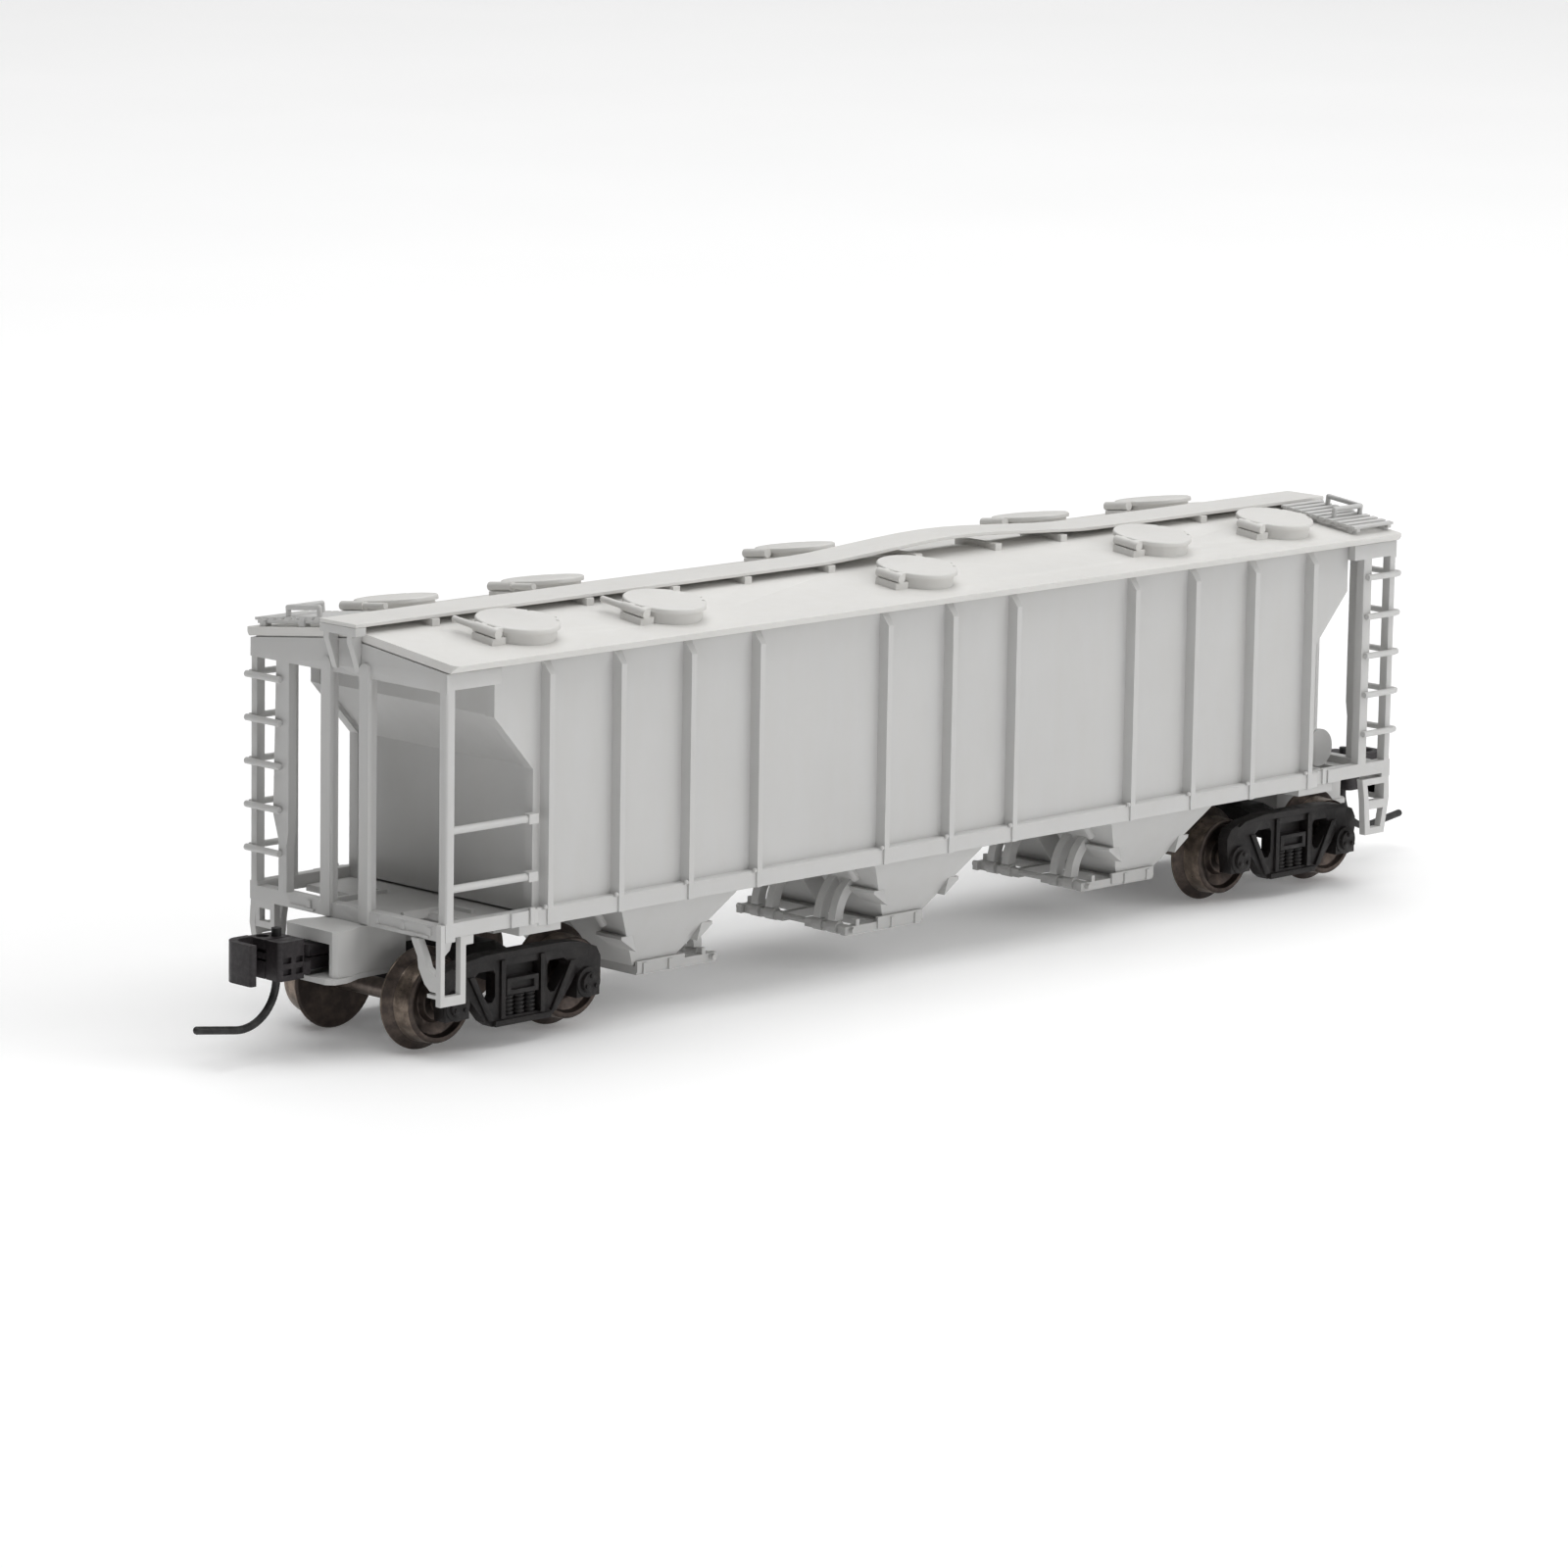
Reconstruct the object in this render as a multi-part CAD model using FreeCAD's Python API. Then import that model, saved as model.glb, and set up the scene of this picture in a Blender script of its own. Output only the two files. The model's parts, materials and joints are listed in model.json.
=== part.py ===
"""Scale model of a three-bay covered hopper car, 1:160, running on 9 mm gauge track.

Millimetres.  The origin is under the middle of the car, level with the bottom of the wheel flanges.
+X runs along the car, +Y across it and +Z up.  The car is the same turned half round, apart from
its brake gear, so most end pieces are drawn at the -X end and turned for the other one.
"""
import os
import math
import FreeCAD, Part
from FreeCAD import Vector

os.makedirs("parts", exist_ok=True)

# ---- driving dimensions: body -------------------------------------------------------------
END_X = 43.5            # outer face of the end frames
SIDE_Y = 9.0            # outer face of side sills and corner posts
SHEET_Y = 8.4           # outer face of the side sheets
SHEET_T = 0.8           # side and end sheet thickness
RIB_Y = 9.12            # outer face of the side ribs
RIB_FACE = 0.44
RIB_ROOT = 0.62
RIB_NARROW = 5.93       # rib pitch inside a group
RIB_WIDE = 11.33        # gap beside the rib pair that stands over the middle bay
SILL_BOTTOM = 7.73
SILL_TOP = 8.80
BAY_LOW_X = 35.95       # end of the side sheet, lower part
BAY_HIGH_X = 39.15      # end of the side sheet, upper part
BAY_LOW_Z = 17.3
BAY_HIGH_Z = 20.8
WALL_RECESS = 0.35      # how far the end wall stands behind the sheet's edge
FLOOR_TOP = 8.15
UNDER_TOP = 8.30        # top of the underframe plate inside the shell

# ---- driving dimensions: roof -------------------------------------------------------------
ROOF_X = 43.45
EAVE_Y = 9.70
EAVE_Z = 24.50
ROOF_SLOPE = 0.1175
ROOF_UNDER_Y = 9.20
ROOF_UNDER_Z = 24.02
SEAM = 0.09             # dark line between body and roof
HATCH_X = [-34.7, -22.4, 0.0, 22.4, 34.7]
HATCH_FROM_EAVE = 4.28  # hatch centre, measured up the roof slope from the eave
CURB_R = 2.42
CURB_H = 0.72
COVER_R = 2.63
COVER_T = 0.30
BOARD_X = 44.3
BOARD_HALF = 1.65
BOARD_Z = 25.88
BOARD_T = 0.25
BOW_START = -6.0        # the board stands off its saddles between these two places
BOW_END = 22.0
BOW_RISE = 0.66
SADDLE_X = [4.0, 11.5, 17.8, 25.2, 31.7, 38.0]

# ---- driving dimensions: underframe -------------------------------------------------------
HOPPER_X = [-22.3, 0.0, 22.3]
GATE_DIRECTION = [1, -1, -1]    # the way each outlet frame reaches beyond its hopper
HOPPER_TOP_Z = 7.10     # the slope sheets reach up to here, and stand upright above it
HOPPER_TOP_HX = 4.90
HOPPER_TOP_HY = 7.12
HOPPER_LOW_Z = 2.90
HOPPER_LOW_HX = 1.66
HOPPER_LOW_HY = 4.70
HOPPER_LIP_Z = 5.25
SILL_HALF = 1.0         # centre sill
SILL_LOW_Z = 6.0
TRUCK_X = 35.6
DRAFT_FRONT_X = 46.45
DRAFT_HALF = 2.35
DRAFT_TOP_Z = 7.65
DRAFT_LOW_Z = 4.80
COVER_LOW_Z = 4.45
COUPLER_PIVOT_X = 42.6
DRAFT_SIDE = [(-45.1, DRAFT_HALF), (-44.2, 1.95), (-40.2, 1.75)]    # +Y edge, tapered to clear wheels
SHANK_HALF = 0.52
HEAD_FRONT_X = -50.05   # -X coupler's head, shared by its two halves
HEAD_BACK_X = -48.0
HEAD_SPLIT_Y = -0.15
HEAD_LOW_Z = 4.95
HEAD_TOP_Z = 7.35
KNUCKLE_FRONT_X = -52.05
KNUCKLE_OUT_Y = 1.55
PIN_END_X = 54.9

# ---- driving dimensions: trucks and wheels ------------------------------------------------
WHEELBASE = 10.8
FLANGE_R = 3.20
TREAD_R = 2.62
WHEEL_BACK_Y = 3.76     # back-to-back distance is twice this
WHEEL_FACE_Y = 5.85
AXLE_R = 0.62
AXLE_TIP_Y = 6.85
FRAME_IN_Y = 6.30
FRAME_OUT_Y = 7.15
PIN_R = 0.95
PIN_HOLE_R = 1.02

# ---- driving dimensions: end frames, ladders and irons ------------------------------------
POST_W = 0.63
FASCIA_Z = 22.8
END_SILL_LOW = 7.65
END_SILL_TOP = 8.55
SIDE_BAR_Z = 22.95
CENTRE_POST_Y = 1.75
CENTRE_POST_W = 0.85
RUNG_Z = [10.9, 13.6, 16.3, 19.0, 21.7]
RUNG_R = 0.21
GRAB_Z = [10.8, 14.37]
GRAB_R = 0.24
STEP_LOW_Z = 3.75
WIRE_R = 0.17
PIN_WIRE_R = 0.25
PIN_X = -48.7           # trip pin of the -X coupler
PIN_Y = 0.42


# ---- small tools --------------------------------------------------------------------------
def block(x0, x1, y0, y1, z0, z1):
    return Part.makeBox(x1 - x0, y1 - y0, z1 - z0, Vector(x0, y0, z0))


def polygon_face(points):
    return Part.Face(Part.makePolygon([Vector(*p) for p in points] + [Vector(*points[0])]))


def mirrored_outline(half):
    """Closed outline from its +Y half, listed from front to back."""
    return half + [(x, -y) for x, y in reversed(half)]


def along_x(yz, x0, x1):
    """Outline in the YZ plane, extruded from x0 to x1."""
    return polygon_face([(x0, y, z) for y, z in yz]).extrude(Vector(x1 - x0, 0, 0))


def along_y(xz, y0, y1):
    """Outline in the XZ plane, extruded from y0 to y1."""
    return polygon_face([(x, y0, z) for x, z in xz]).extrude(Vector(0, y1 - y0, 0))


def along_z(xy, z0, z1):
    """Outline in the XY plane, extruded from z0 to z1."""
    return polygon_face([(x, y, z0) for x, y in xy]).extrude(Vector(0, 0, z1 - z0))


def rod(a, b, r):
    a, b = Vector(*a), Vector(*b)
    return Part.makeCylinder(r, (b - a).Length, a, b - a)


def ball(p, r):
    return Part.makeSphere(r, Vector(*p))


def bent_rod(points, r):
    """A round rod through the points, with a rounded knee at each bend."""
    pieces = [rod(a, b, r) for a, b in zip(points, points[1:])]
    pieces += [ball(p, r) for p in points[1:-1]]
    return join(pieces)


def ring_turned(radius_y, centre_x, centre_z):
    """Solid of revolution about the cross-car axis at (centre_x, centre_z); outline is (radius, y)."""
    outline = [(centre_x + r, y, centre_z) for r, y in radius_y]
    face = polygon_face(outline)
    return face.revolve(Vector(centre_x, 0, centre_z), Vector(0, 1, 0), 360)


def join(shapes):
    if len(shapes) == 1:
        return shapes[0]
    return shapes[0].fuse(shapes[1:]).removeSplitter()


def round_uprights(shape, x, y, r):
    """Rounds the upright edge that stands at (x, y)."""
    edges = [e for e in shape.Edges if e.BoundBox.ZLength > 0.5 and abs(e.BoundBox.Center.x - x) < 1e-4
             and abs(e.BoundBox.Center.y - y) < 1e-4]
    return shape.makeFillet(r, edges)


def turned(shape):
    """The same piece at the other end of the car, turned half round about the vertical."""
    copy = shape.copy()
    copy.rotate(Vector(0, 0, 0), Vector(0, 0, 1), 180)
    return copy


def other_side(shape):
    return shape.mirror(Vector(0, 0, 0), Vector(0, 1, 0))


def moved(shape, x=0.0, y=0.0, z=0.0):
    copy = shape.copy()
    copy.translate(Vector(x, y, z))
    return copy


def on_roof(shape):
    """Tilts a piece drawn with y from the eave tip and z from the roof surface onto the -Y slope."""
    copy = shape.copy()
    copy.rotate(Vector(0, 0, 0), Vector(1, 0, 0), math.degrees(math.atan(ROOF_SLOPE)))
    copy.translate(Vector(0, -EAVE_Y, EAVE_Z))
    return copy


def save(name, shapes):
    if not isinstance(shapes, list):
        shapes = [shapes]
    solids = [s for shape in shapes for s in shape.Solids]
    for solid in solids:
        if not solid.isValid():
            print("invalid solid in", name)
    result = solids[0] if len(solids) == 1 else Part.makeCompound(solids)
    result.exportStep("parts/" + name + ".step")
    box = result.BoundBox
    print("%-24s %2d  x %7.2f %7.2f  y %6.2f %6.2f  z %6.2f %6.2f" % (
        name, len(solids), box.XMin, box.XMax, box.YMin, box.YMax, box.ZMin, box.ZMax))


def roof_under(y):
    return ROOF_UNDER_Z + (ROOF_UNDER_Y - abs(y)) * ROOF_SLOPE


def under_roof(shape, seam_from_y):
    """Trims a piece to the underside of the roof, with a fine seam outside seam_from_y."""
    wide, low = 12.0, -1.0
    fit = along_x([(-wide, low), (wide, low), (wide, roof_under(wide)),
                   (0, roof_under(0)), (-wide, roof_under(wide))], -60, 60)
    trimmed = shape.common(fit)
    y0 = seam_from_y
    seams = [along_x([(s * y0, roof_under(y0) - SEAM), (s * wide, roof_under(wide) - SEAM),
                      (s * wide, 30), (s * y0, 30)], -60, 60) for s in (-1, 1)]
    return trimmed.cut(seams)


# ---- body shell: side sheets, ribs, side sills and end walls --------------------------------
def rib_places():
    first = RIB_NARROW
    second = first + RIB_WIDE
    places = [0.0, first, second] + [second + RIB_NARROW * n for n in (1, 2, 3)]
    return sorted(set([-p for p in places[1:]] + places))


def side_rib():
    """One rib of the -Y side at x = 0: hat section, running out into the sheet under the eave."""
    root, face = RIB_ROOT / 2, RIB_FACE / 2
    inside = SHEET_Y - 0.2
    section = along_z([(-root, -inside), (-root, -SHEET_Y), (-face, -RIB_Y), (face, -RIB_Y),
                       (root, -SHEET_Y), (root, -inside)], SILL_BOTTOM, 24.2)
    side = along_x([(-inside, SILL_BOTTOM), (-RIB_Y, SILL_BOTTOM), (-RIB_Y, 23.1),
                    (-SHEET_Y - 0.02, 24.0), (-inside, 24.0)], -1, 1)
    return section.common(side)


def body_outline(recess):
    low, high = BAY_LOW_X - recess, BAY_HIGH_X - recess
    return [(-low, SILL_BOTTOM), (low, SILL_BOTTOM), (low, BAY_LOW_Z), (high, BAY_HIGH_Z),
            (high, 26.0), (-high, 26.0), (-high, BAY_HIGH_Z), (-low, BAY_LOW_Z)]


def body_shell():
    inner_y = SHEET_Y - SHEET_T
    sheets = along_y(body_outline(0), -SHEET_Y, SHEET_Y)
    recess = along_y(body_outline(WALL_RECESS), -inner_y, inner_y)
    sheets = sheets.cut(along_y(body_outline(0), -inner_y, inner_y).cut(recess))
    low, high = BAY_LOW_X - WALL_RECESS - SHEET_T, BAY_HIGH_X - WALL_RECESS - SHEET_T
    hollow = [(-low, SILL_BOTTOM - 1), (low, SILL_BOTTOM - 1), (low, BAY_LOW_Z + 0.3),
              (high, BAY_HIGH_Z + 0.3), (high, 27), (-high, 27), (-high, BAY_HIGH_Z + 0.3),
              (-low, BAY_LOW_Z + 0.3)]
    sheets = sheets.cut([along_y(hollow, -inner_y, inner_y),
                         block(-BAY_LOW_X, BAY_LOW_X, -inner_y, inner_y, 7, UNDER_TOP)])
    sill = along_x([(-SHEET_Y + 0.1, SILL_BOTTOM), (-SIDE_Y, SILL_BOTTOM), (-SIDE_Y, SILL_TOP - 0.1),
                    (-SIDE_Y + 0.1, SILL_TOP), (-SHEET_Y + 0.1, SILL_TOP)], -BAY_LOW_X, BAY_LOW_X)
    rib = side_rib()
    near = [sill] + [moved(rib, x) for x in rib_places()]
    whole = join([sheets] + near + [other_side(piece) for piece in near])
    return under_roof(whole, SHEET_Y - 0.35)


# ---- end frames ---------------------------------------------------------------------------
def rounded_plate(y, half, z0, z1, x0, x1):
    """A plate facing along X with a round top."""
    plate = block(x0, x1, y - half, y + half, z0, z1 - half)
    return plate.fuse(rod((x0, y, z1 - half), (x1, y, z1 - half), half))


def end_frame():
    """The -X end frame with its side returns; the ladders hang on the +Y corner."""
    face, back = -END_X, -END_X + 0.8
    post_in = SIDE_Y - POST_W
    pieces = [block(face, back, -SIDE_Y, SIDE_Y, END_SILL_LOW, END_SILL_TOP)]
    for side in (-1, 1):
        y0, y1 = sorted((side * post_in, side * SIDE_Y))
        post = block(face, face + POST_W, y0, y1, END_SILL_LOW, 25)
        pieces.append(round_uprights(post, face, side * SIDE_Y, 0.18))
        pieces.append(block(face, -BAY_LOW_X, *sorted((side * 8.3, side * SIDE_Y)), 7.92, SILL_TOP))
        pieces.append(block(face, -BAY_HIGH_X, *sorted((side * 8.3, side * SIDE_Y)), SIDE_BAR_Z, 25))
    pieces.append(block(face, face + 0.5, -SIDE_Y, SIDE_Y, FASCIA_Z, 26))
    # centre posts stand proud of the fascia and end in round tops
    for y in (-CENTRE_POST_Y, CENTRE_POST_Y):
        pieces.append(rounded_plate(y, CENTRE_POST_W / 2, END_SILL_LOW + 0.1, 23.7, face - 0.22, face + 0.1))
        pieces.append(block(face, face + 0.7, y - 0.17, y + 0.17, END_SILL_TOP - 0.1, FASCIA_Z + 0.1))
    # inner stile of the end ladder leans outward and kinks back near its foot
    stile = [(5.40, FASCIA_Z + 0.1), (6.57, FASCIA_Z + 0.1), (6.83, 13.3), (6.31, 11.7),
             (6.31, END_SILL_TOP - 0.1), (5.55, END_SILL_TOP - 0.1), (5.55, 11.4), (5.40, 12.4)]
    pieces.append(along_x(stile, face, face + 0.6))
    # inner stile of the side ladder
    pieces.append(block(-40.95, -40.15, post_in, SIDE_Y, SILL_TOP - 0.1, SIDE_BAR_Z + 0.1))
    # raised ends on the sill: two pads and a lip each side
    for y in (-7.6, -5.2, -2.9, 3.4):
        pieces.append(block(face - 0.12, face + 0.1, y - 0.2, y + 0.2, 7.95, 8.4))
    pieces.append(block(face - 0.14, face + 0.1, -7.6, -2.9, 7.74, 7.92))
    pieces.append(block(face - 0.14, face + 0.1, 2.9, 5.2, 7.74, 7.92))
    # bolster strap on the side sill
    for side in (-1, 1):
        y0, y1 = sorted((side * (SIDE_Y - 0.1), side * (SIDE_Y + 0.14)))
        pieces.append(block(-38.25, -36.9, y0, y1, 7.92, SILL_TOP))
        pieces.append(block(-36.7, -36.35, y0, y1, 7.92, SILL_TOP + 0.15))
    return under_roof(join(pieces), SIDE_Y - 0.3).cut(
        along_x([(-SIDE_Y, 22), (SIDE_Y, 22), (SIDE_Y, roof_under(SIDE_Y) - SEAM),
                 (0, roof_under(0) - SEAM), (-SIDE_Y, roof_under(SIDE_Y) - SEAM)], -50, -60).fuse(
            along_x([(-SIDE_Y, roof_under(SIDE_Y) - SEAM), (0, roof_under(0) - SEAM),
                     (SIDE_Y, roof_under(SIDE_Y) - SEAM), (SIDE_Y, 27), (-SIDE_Y, 27)],
                    face - 0.5, face + 0.2)))


def ladder_rungs():
    """Rungs of the end ladder and the side ladder at the -X, +Y corner, turned for the other."""
    rungs = []
    for z in RUNG_Z:
        rungs.append(rod((-END_X - RUNG_R, 5.95, z), (-END_X - RUNG_R, SIDE_Y + 0.15, z), RUNG_R))
        rungs.append(rod((-END_X + 0.15, SIDE_Y + RUNG_R, z), (-40.3, SIDE_Y + RUNG_R, z), RUNG_R))
    return rungs + [turned(rung) for rung in rungs]


def side_grab_irons():
    """Two long straight irons across the open bay at the -X, -Y corner, turned for the other."""
    irons = [rod((-END_X + POST_W, -SIDE_Y + 0.35, z), (-BAY_LOW_X - 0.55, -SIDE_Y + 0.35, z), GRAB_R)
             for z in GRAB_Z]
    feet = [block(-BAY_LOW_X - 0.75, -BAY_LOW_X, -SIDE_Y + 0.05, -SHEET_Y + 0.05, z - 0.3, z + 0.3)
            for z in GRAB_Z]
    irons = [iron.fuse(foot).removeSplitter() for iron, foot in zip(irons, feet)]
    return irons + [turned(iron) for iron in irons]


def plain_step():
    """Stirrup under the -X, -Y corner: a square loop with a cranked brace to the end sill."""
    face = -END_X
    y0, y1 = -SIDE_Y + 0.02, -SIDE_Y + 0.47
    front, leg_x, toe = face - 0.35, -42.25, -41.8
    pieces = [block(front, face, y0, y1, STEP_LOW_Z, 8.75)]
    pieces.append(block(front, toe, y0, y1, STEP_LOW_Z, STEP_LOW_Z + 0.6))
    pieces.append(block(leg_x, toe, y0, y1, STEP_LOW_Z, SILL_BOTTOM + 0.19))
    pieces.append(block(leg_x, toe + 0.6, y0, y1, END_SILL_LOW - 0.3, SILL_BOTTOM + 0.19))
    # gusset that hangs under the sill between the legs
    gusset = [(face, END_SILL_LOW), (face, 7.0), (-43.1, 6.75), (-42.7, 7.05), (-42.5, END_SILL_LOW)]
    pieces.append(along_y(gusset, y1, y1 + 0.3))
    brace = [(-6.25, END_SILL_LOW), (-6.85, 6.6), (-6.95, 5.9), (-7.5, 5.0), (-8.0, 4.6), (-8.6, 4.6),
             (-8.6, 5.5), (-7.75, 6.05), (-7.5, 6.7), (-6.95, END_SILL_LOW)]
    pieces.append(along_x(brace, front, face + 0.15))
    pieces.append(block(front, face, -8.6, -7.75, 4.2, 4.45))
    return join(pieces)


def double_step():
    """Stirrup under the -X, +Y ladder corner: two treads between splayed legs."""
    y0, y1 = SIDE_Y - 0.52, SIDE_Y - 0.02
    x0, x1 = -END_X + 0.05, -41.0
    outline = [(x0, END_SILL_LOW), (x0 - 0.1, 6.2), (x0 + 0.35, STEP_LOW_Z), (x1 - 0.15, STEP_LOW_Z),
               (x1 + 0.05, 6.2), (x1 + 0.3, END_SILL_LOW)]
    plate = along_y(outline, y0, y1)
    holes = [along_y([(x0 + 0.75, 4.2), (x1 - 0.65, 4.2), (x1 - 0.5, 5.5), (x0 + 0.5, 5.5)], y0 - 1, y1 + 1),
             along_y([(x0 + 0.45, 6.1), (x1 - 0.45, 6.1), (x1 - 0.25, 7.2), (x0 + 0.45, 7.2)],
                     y0 - 1, y1 + 1)]
    side_plate = block(-END_X, -END_X + 0.45, SIDE_Y - 2.3, SIDE_Y - 0.5, 6.0, END_SILL_LOW).cut(
        block(-END_X - 1, -END_X + 1, SIDE_Y - 1.9, SIDE_Y - 0.9, 6.4, 7.2))
    return join([plate.cut(holes), side_plate])


# ---- roof, hatches and walkways -------------------------------------------------------------
def rounded_slab(half_x, half_y, radius, z0, z1):
    slab = block(-half_x, half_x, -half_y, half_y, z0, z1)
    corners = [e for e in slab.Edges if abs(e.tangentAt(e.FirstParameter).z) > 0.99]
    return slab.makeFillet(radius, corners)


def roof():
    ridge_top = EAVE_Z + EAVE_Y * ROOF_SLOPE
    section = [(-EAVE_Y, EAVE_Z), (0, ridge_top), (EAVE_Y, EAVE_Z), (ROOF_UNDER_Y, ROOF_UNDER_Z),
               (0, roof_under(0)), (-ROOF_UNDER_Y, ROOF_UNDER_Z)]
    slab = along_x(section, -ROOF_X, ROOF_X).common(rounded_slab(ROOF_X, EAVE_Y, 0.55, 20, 30))
    # locating rim that drops inside the body
    rim_y, rim_x = SHEET_Y - SHEET_T - 0.05, BAY_HIGH_X - WALL_RECESS - SHEET_T - 0.05
    rim = block(-rim_x, rim_x, -rim_y, rim_y, 23.2, 25.3).cut(
        block(-rim_x + 0.7, rim_x - 0.7, -rim_y + 0.7, rim_y - 0.7, 23, 26))
    fit = along_x([(-rim_y, 20), (rim_y, 20), (rim_y, roof_under(rim_y) + 0.05), (0, roof_under(0) + 0.05),
                   (-rim_y, roof_under(rim_y) + 0.05)], -ROOF_X, ROOF_X)
    pieces = [slab, rim.common(fit)]
    for x in HATCH_X:
        curb = Part.makeCylinder(CURB_R, CURB_H + 0.1, Vector(x, HATCH_FROM_EAVE, -0.1))
        rest = block(x - 3.3, x - 2.2, HATCH_FROM_EAVE - 1.45, HATCH_FROM_EAVE + 0.4, -0.1, CURB_H - 0.28)
        near = on_roof(curb.fuse(rest))
        pieces += [near, other_side(near)]
    for x in SADDLE_X:
        for side in (-1, 1):
            pieces.append(block(side * x - 0.3, side * x + 0.3, -1.85, 1.85, 25.3, BOARD_Z))
    return join(pieces)


def hatch_cover(x, extension):
    """Cover of one hatch on the -Y slope: crowned disc, hinge bar on its -X side, latch nib opposite."""
    centre = HATCH_FROM_EAVE
    z0, z1 = CURB_H, CURB_H + COVER_T
    disc = Part.makeCylinder(COVER_R, COVER_T, Vector(x, centre, z0))
    rim = [e for e in disc.Edges if abs(e.BoundBox.ZMax - z1) < 1e-6 and e.BoundBox.ZLength < 1e-6]
    disc = disc.makeFillet(0.12, rim)
    for angle in (32, -32):
        a = math.radians(angle)
        notch = Part.makeBox(0.55, 0.22, 1.0, Vector(-0.275, -0.11, z0 - 0.2))
        notch.rotate(Vector(0, 0, 0), Vector(0, 0, 1), angle)
        notch.translate(Vector(x + COVER_R * math.cos(a), centre + COVER_R * math.sin(a), 0))
        disc = disc.cut(notch)
    bar_x, bar_z = x - COVER_R - 0.36, CURB_H + 0.02
    barrel = rod((bar_x, centre - 1.6, bar_z), (bar_x, centre + 0.5, bar_z), 0.3)
    strap = block(bar_x, x - COVER_R + 0.35, centre - 1.25, centre - 0.85, z0 + 0.02, z0 + 0.26)
    strap2 = block(bar_x, x - COVER_R + 0.35, centre - 0.15, centre + 0.25, z0 + 0.02, z0 + 0.26)
    nib = block(x + COVER_R - 0.2, x + COVER_R + 0.3, centre - 0.3, centre + 0.3, z0 + 0.03, z0 + 0.22)
    pieces = [disc, barrel, strap, strap2, nib]
    if extension:
        pieces.append(rod((bar_x, centre + 0.4, bar_z), (bar_x, centre + 2.45, bar_z), 0.2))
    return on_roof(join(pieces))


def board_height(x):
    """Rise of the walkway off its saddles."""
    if x <= BOW_START or x >= BOW_END:
        return 0.0
    return BOW_RISE * math.sin(math.pi * (x - BOW_START) / (BOW_END - BOW_START)) ** 2


def running_board():
    """Ridge walkway: a thin strip that bows up off its saddles near mid-length."""
    stations = [BOW_START + (BOW_END - BOW_START) * n / 8 for n in range(9)]

    def bowed(z):
        curve = Part.BSplineCurve()
        points = [Vector(x, -BOARD_HALF, z + board_height(x)) for x in stations]
        curve.interpolate(Points=points, InitialTangent=Vector(1, 0, 0), FinalTangent=Vector(1, 0, 0))
        return curve.toShape()

    low, top = BOARD_Z, BOARD_Z + BOARD_T

    def corner(x, z):
        return Vector(x, -BOARD_HALF, z)

    edges = [Part.makeLine(corner(-BOARD_X, low), corner(BOW_START, low)), bowed(low),
             Part.makeLine(corner(BOW_END, low), corner(BOARD_X, low)),
             Part.makeLine(corner(BOARD_X, low), corner(BOARD_X, top)),
             Part.makeLine(corner(BOARD_X, top), corner(BOW_END, top)), bowed(top),
             Part.makeLine(corner(BOW_START, top), corner(-BOARD_X, top)),
             Part.makeLine(corner(-BOARD_X, top), corner(-BOARD_X, low))]
    wire = Part.Wire(Part.__sortEdges__(edges))
    return Part.Face(wire).extrude(Vector(0, 2 * BOARD_HALF, 0))


def board_bracket():
    """End bracket under the -X end of the walkway: a cross channel on two tapered legs."""
    face = -END_X
    cross = block(-BOARD_X, -ROOF_X, -BOARD_HALF, BOARD_HALF, 25.35, BOARD_Z)
    legs = []
    for y in (-1.05, 1.05):
        legs.append(along_y([(-BOARD_X, 25.5), (-ROOF_X, 25.5), (-ROOF_X, 25.15), (face, 25.1), (face, 23.1),
                             (face - 0.12, 23.1), (face - 0.5, 24.2), (-BOARD_X, 25.0)],
                            y - 0.24, y + 0.24))
    return join([cross] + legs)


def corner_platform():
    """Slatted platform over the ladder at the +X, -Y corner, lying parallel to the roof."""
    x0, x1 = 39.35, 43.4
    first, last = 1.05, EAVE_Y - 1.95
    slats = 10
    pitch = (last - first - 0.42) / (slats - 1)
    low, high = 0.42, 0.60
    pieces = [block(x0, x1, first + pitch * n, first + pitch * n + 0.42, low, high) for n in range(slats)]
    for x in (x0 + 0.25, x1 - 0.55):
        pieces.append(block(x, x + 0.35, first, last, low - 0.22, low + 0.05))
    for x in (x0 + 0.2, x1 - 0.6):
        for y in (1.35, 5.0):
            pieces.append(block(x, x + 0.5, y, y + 0.55, 0, low))
    return on_roof(join(pieces))


def platform_iron():
    """L-shaped roof iron on three short posts, over the +X, -Y platform."""
    high, foot = 1.15, 0.6
    outer, inner_y, inner_x = (42.9, 3.7), (42.9, 6.6), (40.2, 3.7)
    path = [(inner_x[0], inner_x[1], foot), (inner_x[0], inner_x[1], high), (outer[0], outer[1], high),
            (inner_y[0], inner_y[1], high), (inner_y[0], inner_y[1], foot)]
    return on_roof(join([bent_rod(path, WIRE_R), rod((outer[0], outer[1], foot), (outer[0], outer[1], high),
                                                     WIRE_R)]))


# ---- underframe, hoppers and gates ----------------------------------------------------------
def draft_box():
    """Coupler pocket at the -X end, widest at its mouth and open below for the coupler."""
    front = -DRAFT_FRONT_X
    inside = mirrored_outline([(front - 1, 1.85), (-45.1, 1.8), (-44.2, 1.4), (-41.0, 1.35)])
    outside = mirrored_outline([(front, DRAFT_HALF - 0.25), (front + 0.25, DRAFT_HALF)] + DRAFT_SIDE)
    box = along_z(outside, DRAFT_LOW_Z, DRAFT_TOP_Z).cut(along_z(inside, DRAFT_LOW_Z - 1, 6.85))
    post = Part.makeCylinder(0.55, 2.5, Vector(-COUPLER_PIVOT_X, 0, DRAFT_LOW_Z))
    return box.fuse(post)


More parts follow.
